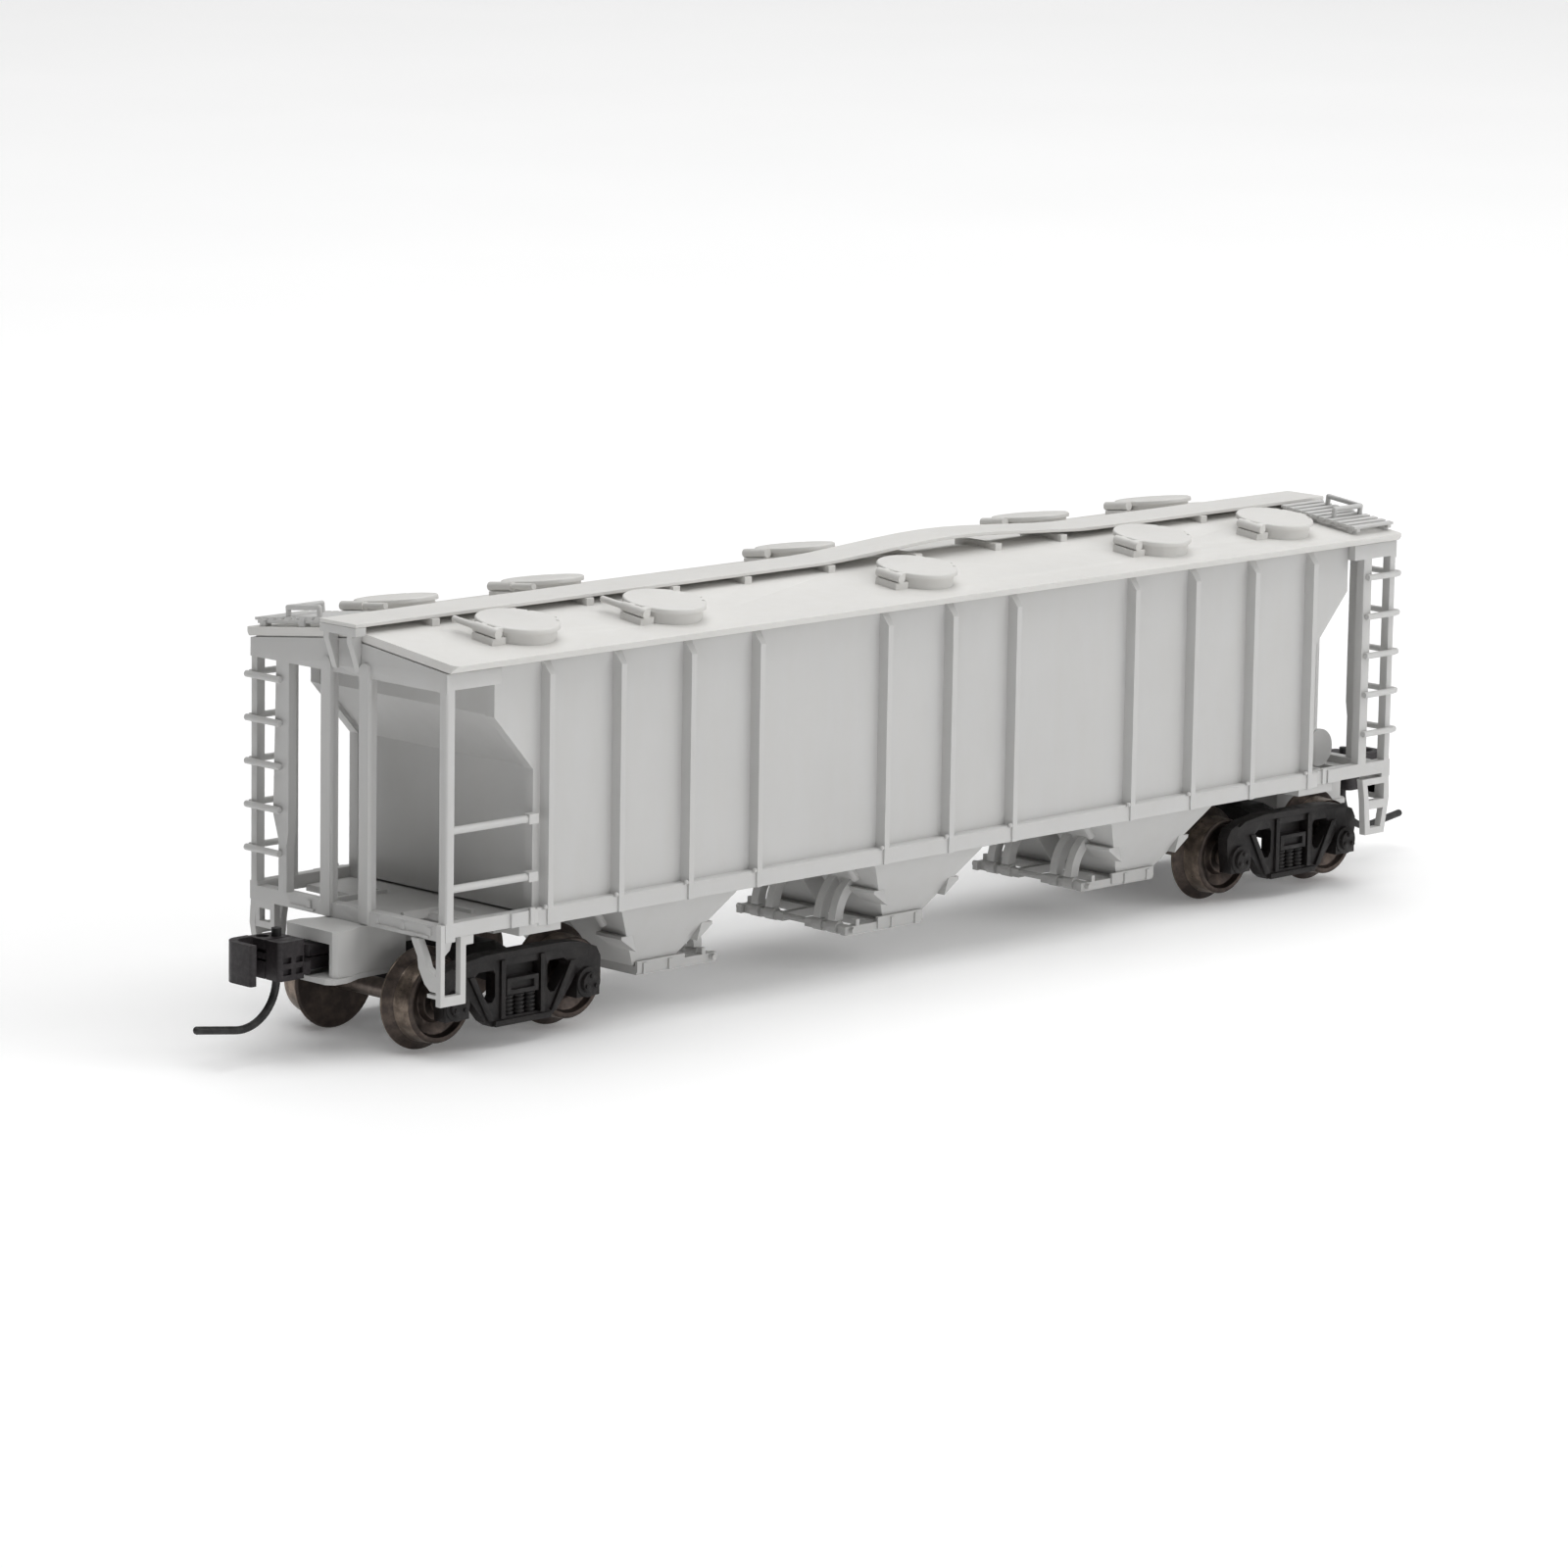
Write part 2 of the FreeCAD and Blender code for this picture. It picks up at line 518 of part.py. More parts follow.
def draft_cover():
    """Bottom plate of the -X coupler pocket, with a lip out under the coupler shank."""
    front = -DRAFT_FRONT_X
    outline = mirrored_outline([(front - 0.5, 2.0), (front - 0.1, 2.5), (-45.6, 2.52)] + DRAFT_SIDE)
    plate = along_z(outline, COVER_LOW_Z, DRAFT_LOW_Z)
    return plate.cut(Part.makeCylinder(0.3, 2, Vector(-COUPLER_PIVOT_X, 0, COVER_LOW_Z - 1)))


def draft_screw():
    head = Part.makeCylinder(0.62, 0.25, Vector(-COUPLER_PIVOT_X, 0, COVER_LOW_Z - 0.25))
    slot = block(-COUPLER_PIVOT_X - 1, -COUPLER_PIVOT_X + 1, -0.09, 0.09, 4, COVER_LOW_Z - 0.15)
    return head.fuse(Part.makeCylinder(0.3, 2.0, Vector(-COUPLER_PIVOT_X, 0, COVER_LOW_Z))).cut(slot)


def underframe():
    floor_y = 7.55
    pieces = [block(-BAY_LOW_X + 1.2, BAY_LOW_X - 1.2, -floor_y, floor_y, SILL_BOTTOM, UNDER_TOP)]
    pieces.append(block(-41, 41, -SILL_HALF, SILL_HALF, SILL_LOW_Z, SILL_BOTTOM))
    ends = []
    ends.append(draft_box())
    # end floor: a plate each side of the sill, open near the corners, and the body bolster
    ends.append(block(-END_X + 0.8, -BAY_LOW_X + 1.3, -2.6, 2.6, DRAFT_TOP_Z, FLOOR_TOP))
    ends.append(block(-39.6, -BAY_LOW_X + 1.3, -8.25, 8.25, SILL_BOTTOM, FLOOR_TOP).cut(
        block(-BAY_LOW_X - 0.02, -BAY_LOW_X + 1.4, -12, 12, SILL_BOTTOM, FLOOR_TOP + 1).cut(
            block(-BAY_LOW_X - 0.1, -BAY_LOW_X + 1.5, -floor_y, floor_y, 0, 20))))
    ends.append(block(-END_X + 0.8, -41.6, -8.25, 8.25, SILL_BOTTOM, FLOOR_TOP - 0.1))
    ends.append(block(-37.5, -34.07, -SIDE_Y + 0.02, SIDE_Y - 0.02, 7.29, SILL_BOTTOM))
    ends.append(block(-36.9, -34.3, -6.0, 6.0, 6.9, 7.4))
    ends.append(Part.makeCylinder(2.0, 1.0, Vector(-TRUCK_X, 0, 6.35)))
    ends.append(block(-40.5, -36.5, -SILL_HALF - 0.1, SILL_HALF + 0.1, SILL_LOW_Z + 0.35, SILL_BOTTOM))
    # raised angle irons on the end floor
    for side in (-1, 1):
        y0, y1 = sorted((side * 2.9, side * 3.2))
        ends.append(block(-41.7, -37.6, y0, y1, FLOOR_TOP - 0.3, FLOOR_TOP + 0.25))
        y0, y1 = sorted((side * 3.0, side * 5.2))
        ends.append(block(-38.0, -37.7, y0, y1, FLOOR_TOP - 0.1, FLOOR_TOP + 0.25))
        # bolster tops reach up beside the end-frame sill
        y0, y1 = sorted((side * 7.9, side * (SIDE_Y - 0.02)))
        ends.append(block(-37.5, -BAY_LOW_X - 0.02, y0, y1, 7.5, 7.92))
    half = join(ends)
    whole = join(pieces + [half, turned(half)])
    holes = [Part.makeCylinder(PIN_R, 1.7, Vector(s * TRUCK_X, 0, 6.0)) for s in (-1, 1)]
    holes += [Part.makeCylinder(2.4, 1.35, Vector(s * TRUCK_X, 0, 5.0)) for s in (-1, 1)]
    holes += [Part.makeCylinder(0.3, 2.2, Vector(s * COUPLER_PIVOT_X, 0, COVER_LOW_Z)) for s in (-1, 1)]
    return whole.cut(holes)


def level_loft(sections):
    """A solid through level rectangles, each given as (z, x0, x1, y0, y1)."""
    wires = []
    for z, x0, x1, y0, y1 in sections:
        corners = [Vector(x0, y0, z), Vector(x1, y0, z), Vector(x1, y1, z), Vector(x0, y1, z)]
        wires.append(Part.makePolygon(corners + corners[:1]))
    return Part.makeLoft(wires, True, True)


def hopper_half(direction):
    """The -Y chute of a bay at x = 0, with its scoop lips, struts and the hoods over its gate."""
    slope_x = (HOPPER_TOP_HX - HOPPER_LOW_HX) / (HOPPER_TOP_Z - HOPPER_LOW_Z)
    slope_y = (HOPPER_TOP_HY - HOPPER_LOW_HY) / (HOPPER_TOP_Z - HOPPER_LOW_Z)

    def half_x(z):
        return HOPPER_LOW_HX + slope_x * (z - HOPPER_LOW_Z)

    def half_y(z):
        return HOPPER_LOW_HY + slope_y * (z - HOPPER_LOW_Z)

    low, high, top = half_x(HOPPER_LOW_Z), half_x(HOPPER_TOP_Z), half_x(HOPPER_TOP_Z) + 0.7
    chute = level_loft([(HOPPER_LOW_Z, -low, low, -half_y(HOPPER_LOW_Z), -1.15),
                        (HOPPER_TOP_Z, -high, high, -half_y(HOPPER_TOP_Z), -SILL_HALF - 0.02)])
    collar = level_loft([(HOPPER_TOP_Z, -high, high, -half_y(HOPPER_TOP_Z), -SILL_HALF - 0.02),
                         (SILL_BOTTOM, -top, top, -half_y(HOPPER_TOP_Z) - 0.04, -SILL_HALF - 0.02)])
    pieces = [chute, collar]
    lip = HOPPER_LIP_Z
    for side in (-1, 1):
        outline = [(side * half_x(lip - 1.1), lip - 1.1), (side * (half_x(lip) + 0.45), lip - 0.2),
                   (side * (half_x(lip) + 0.45), lip), (side * (half_x(lip) - 0.5), lip)]
        shelf = along_y(outline, -half_y(lip) - 0.02, -3.75)
        pieces.append(shelf.common(block(-60, 60, -60, 60, 0, lip)))
        strut_x = [side * (half_x(z) + 0.12) for z in (7.6, 5.9)]
        pieces.append(rod((strut_x[0], -4.6, 7.6), (strut_x[1], -4.6, 5.9), 0.3))
    centre_x = direction * 1.9
    for y in (-2.2, -3.55):
        ring = Part.makeCylinder(3.3, 0.62, Vector(centre_x, y - 0.31, 3.0), Vector(0, 1, 0)).cut(
            Part.makeCylinder(2.6, 0.62, Vector(centre_x, y - 0.31, 3.0), Vector(0, 1, 0)))
        reach = sorted((centre_x, centre_x + direction * 4))
        pieces.append(ring.common(block(reach[0], reach[1], y - 1, y + 1, 3.1, 7)))
    return join(pieces).common(block(-9, 9, -9, -0.5, HOPPER_LOW_Z, SILL_BOTTOM))


def hopper_bay(x, direction):
    half = hopper_half(direction)
    return [moved(half, x), moved(other_side(half), x)]


def outlet_gate(x, direction):
    """Outlet frames of one bay: trays under both chutes that reach out beyond the hopper."""
    def span(a, b):
        return sorted((x + direction * a, x + direction * b))

    trays = []
    for side in (-1, 1):
        y0, y1 = sorted((side * 1.0, side * 5.0))
        edge_y = sorted((side * 4.9, side * 5.1))
        tray = block(*span(-1.6, 5.1), y0, y1, 2.35, HOPPER_LOW_Z)
        tray = tray.cut(block(*span(2.3, 4.6), y0 + 0.5, y1 - 0.5, 2, 4))
        rail_y = sorted((side * 4.55, side * 5.0))
        pieces = [tray, block(*span(5.0, 5.4), *rail_y, 2.35, HOPPER_LOW_Z)]
        pieces.append(block(*span(-1.6, 2.5), *edge_y, 2.5, 3.22))
        for place in (-1.0, 1.2):
            clip_y = sorted((side * 4.9, side * 5.2))
            pieces.append(block(*span(place - 0.15, place + 0.15), *clip_y, 2.4, 3.1))
        pieces.append(block(*span(4.1, 4.4), *rail_y, 2.6, 3.3))
        # bosses under the hoods carry the gate shaft
        boss_x = x + direction * 4.9
        for y in (2.2, 3.55):
            ends = sorted((side * (y - 0.42), side * (y + 0.42)))
            pieces.append(rod((boss_x, ends[0], 2.68), (boss_x, ends[1], 2.68), 0.42))
        trays.append(join(pieces))
    shaft = rod((x + direction * 4.9, -5.35, 2.68), (x + direction * 4.9, 5.35, 2.68), 0.2)
    return join(trays + [shaft])


# ---- brake gear and ballast -----------------------------------------------------------------
def brake_wheel():
    """Five-spoke hand wheel on the +X end, on a short spindle."""
    x, y, z = 44.75, 4.1, 18.6
    rim = Part.makeTorus(1.55, 0.17, Vector(x, y, z), Vector(1, 0, 0))
    hub = Part.makeCylinder(0.42, 0.4, Vector(x - 0.25, y, z), Vector(1, 0, 0))
    spokes = []
    for n in range(5):
        a = math.radians(90 + 72 * n)
        spokes.append(rod((x, y, z), (x, y + 1.5 * math.cos(a), z + 1.5 * math.sin(a)), 0.12))
    spindle = Part.makeCylinder(0.22, 0.5, Vector(44.3, y, z), Vector(1, 0, 0))
    return join([rim, hub, spindle] + spokes)


def brake_housing():
    """Gear housing behind the hand wheel, on its bracket across the end frame."""
    x0, y, z = END_X, 4.1, 18.6
    case = block(x0 + 0.1, x0 + 0.8, y - 0.85, y + 0.85, z - 1.3, z + 0.9)
    case = case.makeFillet(0.25, [e for e in case.Edges if abs(e.tangentAt(e.FirstParameter).x) > 0.99])
    bracket = block(x0, x0 + 0.15, 2.2, 8.6, z - 0.45, z + 0.45)
    chain = rod((x0 + 0.4, y, z - 1.2), (x0 + 0.4, y, 8.2), 0.16)
    return join([case, bracket, chain, block(x0, x0 + 0.6, y - 0.4, y + 0.4, 7.95, 8.4)])


def brake_cylinder():
    """Brake cylinder lying across the floor of the +X end bay."""
    x, z = 39.9, FLOOR_TOP + 1.4
    body = rod((x, -5.6, z), (x, -2.6, z), 1.1)
    flange = rod((x, -5.75, z), (x, -5.45, z), 1.3)
    piston = rod((x, -2.7, z), (x, -1.6, z), 0.3)
    feet = block(x - 0.7, x + 0.7, -4.9, -3.3, FLOOR_TOP - 0.1, z - 0.6)
    foot_clear = block(x - 0.7, x + 0.7, -4.9, -3.3, FLOOR_TOP - 1, FLOOR_TOP)
    return join([body, flange, piston, feet.cut(foot_clear)])


def air_reservoir():
    """Two-part air reservoir beside the brake cylinder."""
    x, z = 39.9, FLOOR_TOP + 1.4
    body = rod((x, 2.0, z), (x, 6.4, z), 1.05)
    ends = [Part.makeSphere(1.9, Vector(x, y, z)).common(rod((x, 1.55, z), (x, 6.85, z), 1.05))
            for y in (3.4, 5.0)]
    band = rod((x, 4.05, z), (x, 4.3, z), 1.2)
    feet = [block(x - 0.8, x + 0.8, y, y + 0.4, FLOOR_TOP, z - 0.5) for y in (3.3, 5.4)]
    return join([body, band] + ends + feet)


def control_valve():
    """Brake control valve on the outer edge of the +X end floor."""
    x, y = 42.1, -0.4
    body = block(x - 0.5, x + 0.4, y - 0.8, y + 0.8, FLOOR_TOP, FLOOR_TOP + 1.5)
    caps = [rod((x, y - 1.1, FLOOR_TOP + 0.9), (x, y + 1.1, FLOOR_TOP + 0.9), 0.42)]
    return join([body] + caps)


def brake_piping():
    """Pipes from the control valve to the cylinder and the reservoir."""
    high = FLOOR_TOP + 0.9
    to_cylinder = bent_rod([(42.1, -1.5, high), (42.1, -4.2, high), (41.0, -4.2, high)], WIRE_R)
    to_reservoir = bent_rod([(42.1, 0.7, high), (42.1, 3.6, high), (40.9, 3.6, high)], WIRE_R)
    return [to_cylinder, to_reservoir]


def ballast_weight():
    """Steel bar on the floor inside the body, with chamfered ends."""
    return along_y([(-30, 8.3), (30, 8.3), (31, 9.3), (31, 12.2), (-31, 12.2), (-31, 9.3)], -6.5, 6.5)


# ---- couplers -------------------------------------------------------------------------------
def coupler_guard():
    """Lower half of the -X coupler: shank and the solid guard arm on the -Y side."""
    pivot = -COUPLER_PIVOT_X
    eye = Part.makeCylinder(1.1, 0.75, Vector(pivot, 0, 5.15))
    shank = along_z([(pivot, -SHANK_HALF), (-46.9, -SHANK_HALF), (-47.5, -1.35), (-48.3, -1.35),
                     (-48.3, HEAD_SPLIT_Y - 0.05), (-47.6, HEAD_SPLIT_Y - 0.05), (-46.9, SHANK_HALF),
                     (pivot, SHANK_HALF)], 5.15, 5.9)
    arm = block(HEAD_FRONT_X, HEAD_BACK_X, -1.45, HEAD_SPLIT_Y - 0.05, HEAD_LOW_Z, HEAD_TOP_Z)
    arm = round_uprights(arm, HEAD_FRONT_X, -1.45, 0.3)
    arm = round_uprights(arm, HEAD_BACK_X, -1.45, 0.2)
    whole = join([eye, shank, arm])
    slots = [Part.makeCylinder(0.62, 1.2, Vector(pivot, 0, 5.0))]
    for x0, x1 in ((-49.75, -49.1), (-48.75, -48.2)):
        for z in (5.3, 6.0):
            slots.append(block(x0, x1, -1.7, -1.2, z, z + 0.38))
    return whole.cut(slots)


def coupler_knuckle():
    """Upper half of the -X coupler: shank, slotted head on the +Y side and the hooked knuckle."""
    pivot = -COUPLER_PIVOT_X
    eye = Part.makeCylinder(1.1, 0.75, Vector(pivot, 0, 5.97))
    shank = along_z([(pivot, -SHANK_HALF), (-46.9, -SHANK_HALF), (-47.4, 0.02), (-48.4, 0.02),
                     (-48.4, 1.3), (-47.4, 1.3), (-46.9, SHANK_HALF), (pivot, SHANK_HALF)], 5.97, 6.72)
    head = block(HEAD_FRONT_X, HEAD_BACK_X, HEAD_SPLIT_Y + 0.05, KNUCKLE_OUT_Y, HEAD_LOW_Z, HEAD_TOP_Z)
    head = round_uprights(head, HEAD_BACK_X, KNUCKLE_OUT_Y, 0.5)
    # the knuckle hooks round in front of the head; its mouth opens towards the guard arm
    front = KNUCKLE_FRONT_X
    hook = block(front, HEAD_FRONT_X, -1.15, KNUCKLE_OUT_Y, HEAD_LOW_Z - 0.08, HEAD_TOP_Z + 0.05)
    hook = round_uprights(hook, front, KNUCKLE_OUT_Y, 1.05)
    hook = round_uprights(hook, front, -1.15, 0.16)
    mouth = block(front + 0.45, HEAD_FRONT_X + 1, -3.0, KNUCKLE_OUT_Y - 0.55, 4, 9)
    mouth = round_uprights(mouth, front + 0.45, KNUCKLE_OUT_Y - 0.55, 0.65)
    whole = join([eye, shank, head, hook.cut(mouth)])
    hollows = [block(front + 0.8, -49.4, -0.5, 2.0, 6.0, 6.15),
               block(HEAD_FRONT_X - 1, HEAD_FRONT_X + 0.25, -0.5, 0.75, 6.5, 6.75),
               Part.makeCylinder(0.42, 0.5, Vector(-49.35, 0.95, HEAD_TOP_Z - 0.3)),
               Part.makeCylinder(0.62, 1.3, Vector(pivot, 0, 5.8)),
               Part.makeCylinder(PIN_WIRE_R, 5, Vector(PIN_X, PIN_Y, 4))]
    return whole.cut(hollows)


def trip_pin():
    """Curved trip pin of the -X coupler: headed above the coupler, then down and out in an arc."""
    x, y, low, bend_r, turn = PIN_X, PIN_Y, 4.75, 2.8, 98
    upright = rod((x, y, low), (x, y, HEAD_TOP_Z + 0.1), PIN_WIRE_R)
    head = rod((x, y, HEAD_TOP_Z), (x, y, HEAD_TOP_Z + 0.5), PIN_WIRE_R + 0.06)
    disc = Part.Face(Part.Wire(Part.makeCircle(PIN_WIRE_R, Vector(x, y, low), Vector(0, 0, 1))))
    arc = disc.revolve(Vector(x - bend_r, y, low), Vector(0, 1, 0), turn)
    angle = math.radians(turn)
    start = (x - bend_r + bend_r * math.cos(angle), y, low - bend_r * math.sin(angle))
    reach = start[0] + PIN_END_X
    end = (-PIN_END_X, y, start[2] + reach * math.tan(math.radians(turn - 90)))
    return join([upright, head, arc, rod(start, end, PIN_WIRE_R), ball(end, PIN_WIRE_R)])


def centring_spring():
    """Leaf spring behind the -X coupler eye: a bent strip in the rear of the pocket."""
    z0, z1 = 5.3, 6.6
    return along_z([(-41.35, -1.1), (-41.15, -1.1), (-41.15, 1.1), (-41.35, 1.1), (-41.45, 0.5),
                    (-41.45, -0.5)], z0, z1)


# ---- trucks and wheelsets -------------------------------------------------------------------
def side_frame():
    """Cast side frame on the -Y side, centred on x = 0, with windows, springs and bearing caps."""
    half = [(0, 6.0), (3.2, 6.0), (5.0, 5.75), (6.25, 5.3), (6.6, 4.7), (6.6, 4.0), (6.3, 2.3),
            (4.75, 2.3), (4.6, 3.9), (4.2, 3.3), (2.95, 1.8), (2.4, 1.45), (0, 1.4)]
    outline = half + [(-x, z) for x, z in reversed(half[1:-1])]
    plate = along_y(outline, -FRAME_OUT_Y, -FRAME_IN_Y)
    opening = along_y([(-1.45, 1.95), (1.45, 1.95), (1.45, 5.1), (-1.45, 5.1)], -9, 0)
    for s in (-1, 1):
        window = along_y([(s * x, z) for x, z in [(2.15, 4.75), (2.3, 4.95), (3.5, 4.95), (3.85, 4.7),
                                                  (3.85, 4.4), (2.75, 2.95), (2.4, 2.95), (2.15, 3.3)]],
                         -9, 0)
        plate = plate.cut(window)
    plate = plate.cut(opening)
    pieces = [plate]
    # chord flange, column guides and lower lip stand proud of the plate
    flange = [(-5.6, 5.45), (-3.2, 5.62), (3.2, 5.62), (5.6, 5.45), (5.0, 5.75), (3.2, 6.0),
              (-3.2, 6.0), (-5.0, 5.75)]
    pieces.append(along_y(flange, -FRAME_OUT_Y - 0.22, -FRAME_OUT_Y))
    pieces.append(block(-2.3, 2.3, -FRAME_OUT_Y - 0.25, -FRAME_OUT_Y, 1.45, 1.8))
    for s in (-1, 1):
        pieces.append(block(*sorted((s * 1.45, s * 1.8)), -FRAME_OUT_Y - 0.2, -FRAME_OUT_Y, 1.9, 5.5))
        pieces.append(along_y([(s * 3.95, 4.75), (s * 4.4, 4.75), (s * 2.8, 1.85), (s * 2.35, 1.85)],
                              -FRAME_OUT_Y - 0.2, -FRAME_OUT_Y))
    # spring nest: back plate with three coils in front, and the end of the bolster above them
    pieces.append(block(-1.45, 1.45, -FRAME_IN_Y - 0.3, -FRAME_IN_Y, 1.95, 5.1))
    spring_y = -FRAME_OUT_Y + 0.36
    for x in (-0.9, 0.0, 0.9):
        for n in range(5):
            pieces.append(Part.makeTorus(0.32, 0.11, Vector(x, spring_y, 2.1 + 0.26 * n)))
        pieces.append(rod((x, spring_y, 1.95), (x, spring_y, 3.3), 0.33))
    bolster_end = block(-1.3, 1.3, -FRAME_OUT_Y - 0.15, -FRAME_IN_Y, 3.28, 4.3)
    pieces.append(bolster_end.cut(block(-0.95, 0.95, -FRAME_OUT_Y - 0.4, -FRAME_OUT_Y + 0.1, 3.55, 4.05)))
    # bearing adapters and end caps
    for s in (-1, 1):
        x = s * WHEELBASE / 2
        pieces.append(rod((x, -FRAME_OUT_Y - 0.28, FLANGE_R), (x, -FRAME_IN_Y, FLANGE_R), 0.95))
        pieces.append(rod((x, -FRAME_OUT_Y - 0.52, FLANGE_R), (x, -FRAME_OUT_Y, FLANGE_R), 0.66))
        for n in range(3):
            a = math.radians(90 + 120 * n)
            bolt_x, bolt_z = x + 0.42 * math.cos(a), FLANGE_R + 0.42 * math.sin(a)
            pieces.append(rod((bolt_x, -FRAME_OUT_Y - 0.64, bolt_z), (bolt_x, -FRAME_OUT_Y, bolt_z), 0.15))
        pieces.append(block(x - 0.95, x + 0.95, -FRAME_OUT_Y - 0.2, -FRAME_IN_Y, 2.3, 3.4))
    return join(pieces)


def truck_frame():
    """One-piece truck: bolster, two side frames and a brake beam stub, centred on x = 0."""
    near = side_frame()
    bolster = along_x([(-FRAME_IN_Y - 0.1, 3.9), (FRAME_IN_Y + 0.1, 3.9), (FRAME_IN_Y + 0.1, 4.9),
                       (3.4, 5.75), (-3.4, 5.75), (-FRAME_IN_Y - 0.1, 4.9)], -1.25, 1.25)
    plate = Part.makeCylinder(1.9, 0.6, Vector(0, 0, 5.7))
    whole = join([near, other_side(near), bolster, plate])
    tools = [Part.makeCylinder(PIN_HOLE_R, 6, Vector(0, 0, 2)),
             Part.makeCylinder(1.75, 0.75, Vector(0, 0, 3.8))]
    # cups for the pointed axle ends
    for x in (-WHEELBASE / 2, WHEELBASE / 2):
        for side in (-1, 1):
            base = Vector(x, side * (FRAME_IN_Y - 0.1), FLANGE_R)
            tools.append(Part.makeCone(0.62, 0.07, AXLE_TIP_Y + 0.07 - FRAME_IN_Y + 0.1, base,
                                       Vector(0, side, 0)))
    return whole.cut(tools)


def truck_pin():
    """Push pin that the truck turns on, seen from below as a flat head."""
    x = -TRUCK_X
    head = Part.makeCylinder(1.6, 0.55, Vector(x, 0, 3.92))
    shank = Part.makeCylinder(PIN_R, 3.2, Vector(x, 0, 4.4))
    return head.fuse(shank).removeSplitter()


def axle(x):
    """Steel axle, stepped down outside the wheels and pointed at both ends."""
    shoulder = WHEEL_FACE_Y - 0.22
    outline = [(0.0, -AXLE_TIP_Y), (0.45, -AXLE_TIP_Y + 0.62), (0.45, -shoulder), (AXLE_R, -shoulder),
               (AXLE_R, shoulder), (0.45, shoulder), (0.45, AXLE_TIP_Y - 0.62), (0.0, AXLE_TIP_Y)]
    return ring_turned(outline, x, FLANGE_R)


def wheel(x):
    """One wheel of the -Y side: flange, coned tread and a plain dished face."""
    back, front = -WHEEL_BACK_Y, -WHEEL_FACE_Y
    outline = [(AXLE_R, back), (2.3, back), (FLANGE_R - 0.12, back), (FLANGE_R, back - 0.16),
               (FLANGE_R, back - 0.28), (TREAD_R + 0.2, back - 0.52), (TREAD_R + 0.02, back - 0.75),
               (TREAD_R - 0.06, front + 0.12), (TREAD_R - 0.18, front), (TREAD_R - 0.42, front),
               (TREAD_R - 0.55, front + 0.42), (1.35, front + 0.62), (1.15, front + 0.2),
               (AXLE_R, front + 0.2)]
    return ring_turned(outline, x, FLANGE_R)


# ---- build and save -------------------------------------------------------------------------
def build():
    save("body_shell", body_shell())
    frame = end_frame()
    save("end_frame_a", frame)
    save("end_frame_b", turned(frame))
    save("ladder_rungs", ladder_rungs())
    save("side_grab_irons", side_grab_irons())
    plain, double = plain_step(), double_step()
    save("plain_stirrup_steps", [plain, turned(plain)])
    save("ladder_stirrup_steps", [double, turned(double)])

    save("roof", roof())
    for n, x in enumerate(HATCH_X):
        cover = hatch_cover(x, extension=n < 2)
        save("hatch_cover_%da" % (n + 1), cover)
        save("hatch_cover_%db" % (n + 1), other_side(cover))
    save("running_board", running_board())
    bracket = board_bracket()
    save("running_board_brackets", [bracket, turned(bracket)])
    platform, iron = corner_platform(), platform_iron()
    save("corner_platform_a", turned(platform))
    save("corner_platform_b", platform)
    save("platform_irons", [iron, turned(iron)])

    save("underframe", underframe())
    for n, (x, direction) in enumerate(zip(HOPPER_X, GATE_DIRECTION)):
        save("hopper_bay_%d" % (n + 1), hopper_bay(x, direction))
        save("outlet_gate_%d" % (n + 1), outlet_gate(x, direction))
    save("brake_wheel", brake_wheel())
    save("brake_housing", brake_housing())
    save("brake_cylinder", brake_cylinder())
    save("air_reservoir", air_reservoir())
    save("control_valve", control_valve())
    save("brake_piping", brake_piping())
    save("ballast_weight", ballast_weight())

    cover, screw, pin = draft_cover(), draft_screw(), truck_pin()
    save("draft_box_covers", [cover, turned(cover)])
    save("draft_box_screws", [screw, turned(screw)])
    save("truck_pins", [pin, turned(pin)])
    for name, make in (("coupler_guard", coupler_guard), ("coupler_knuckle", coupler_knuckle),
                       ("trip_pin", trip_pin), ("centring_spring", centring_spring)):
        piece = make()
        save(name + "_a", piece)
        save(name + "_b", turned(piece))

    frame = truck_frame()
    for letter, side in (("a", -1), ("b", 1)):
        save("truck_frame_" + letter, moved(frame, side * TRUCK_X))
        for number, step in ((1, side), (2, -side)):
            x = side * TRUCK_X + step * WHEELBASE / 2
            tag = "_%s%d" % (letter, number)
            one = wheel(x)
            save("axle" + tag, axle(x))
            save("wheels" + tag, [one, other_side(one)])


build()
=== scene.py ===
"""Looks of the 1:160 covered hopper car: satin grey paint, black trucks and couplers, blackened wheels.

Metres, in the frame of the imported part.  Each moulding is shown as a copy of its CAD node with its
sharp edges eased, the way a moulded and painted part is, and small mouldings are added to it.
"""

import json
import math

import bmesh
import bpy
from mathutils import Matrix, Vector

